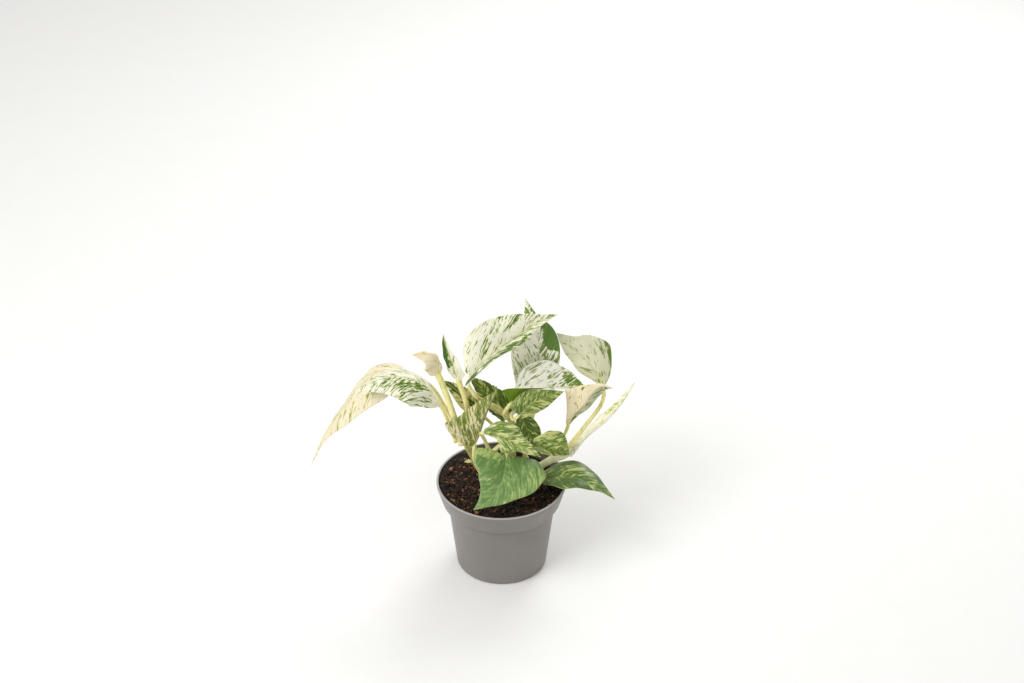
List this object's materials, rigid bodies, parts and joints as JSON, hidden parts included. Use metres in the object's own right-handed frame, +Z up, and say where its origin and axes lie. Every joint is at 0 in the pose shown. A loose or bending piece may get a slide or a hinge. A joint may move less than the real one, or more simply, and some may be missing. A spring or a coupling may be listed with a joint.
{
  "type": "potted pothos plant",
  "caption": "Trailing foliage plant with cream and green marbled heart-shaped leaves on pale stalks, rooted in soil in a plain tapered grey nursery pot.",
  "frame": {"origin": "centre of the pot's flat underside", "axes": "+Z up, +X along the plant's widest spread towards the spear-shaped new leaf, -Y towards the broad front leaf that hangs over the rim"},
  "size_m": [0.2977, 0.1333, 0.2422],
  "materials": {
    "pot": "satin moulded plastic, warm grey",
    "soil": "coarse dark peat with bark and fibre bits",
    "leaf_cream": "living leaf, waxy, cream with green flecks and streaks",
    "leaf_green": "living leaf, waxy, green with cream and yellow-green marbling",
    "stalk": "smooth pale yellow-green leaf stalk",
    "stem": "smooth pale green-yellow stem"
  },
  "bodies": {
    "root": {"pot": "pot", "soil": "soil", "leaf_left_streaked": "leaf_green", "leaf_left_long": "leaf_cream", "leaf_left_curled": "leaf_cream", "leaf_left_unrolling": "leaf_green", "leaf_top_cream": "leaf_cream", "leaf_top_upright": "leaf_green", "leaf_right_specked": "leaf_cream", "leaf_right_pink": "leaf_cream", "leaf_back_cream": "leaf_cream", "leaf_back_green": "leaf_green", "leaf_low_round": "leaf_green", "leaf_middle_streaked": "leaf_green", "leaf_middle_dark": "leaf_green", "leaf_torn": "leaf_green", "leaf_left_inner": "leaf_green", "leaf_left_olive": "leaf_green", "leaf_front_broad": "leaf_green", "leaf_front_right": "leaf_green", "leaf_bud": "leaf_green", "leaf_right_spear": "leaf_cream", "stem_left": "stem", "stem_middle": "stem", "stem_front": "stem", "stem_right": "stem", "stem_back": "stem", "stalk_left_streaked": "stalk", "stalk_left_long": "stalk", "stalk_left_curled": "stalk", "stalk_left_unrolling": "stalk", "stalk_top_cream": "stalk", "stalk_top_upright": "stalk", "stalk_right_specked": "stalk", "stalk_right_pink": "stalk", "stalk_back_cream": "stalk", "stalk_back_green": "stalk", "stalk_low_round": "stalk", "stalk_middle_streaked": "stalk", "stalk_middle_dark": "stalk", "stalk_torn": "stalk", "stalk_left_inner": "stalk", "stalk_left_olive": "stalk", "stalk_front_broad": "stalk", "stalk_front_right": "stalk"}
  },
  "joints": []
}
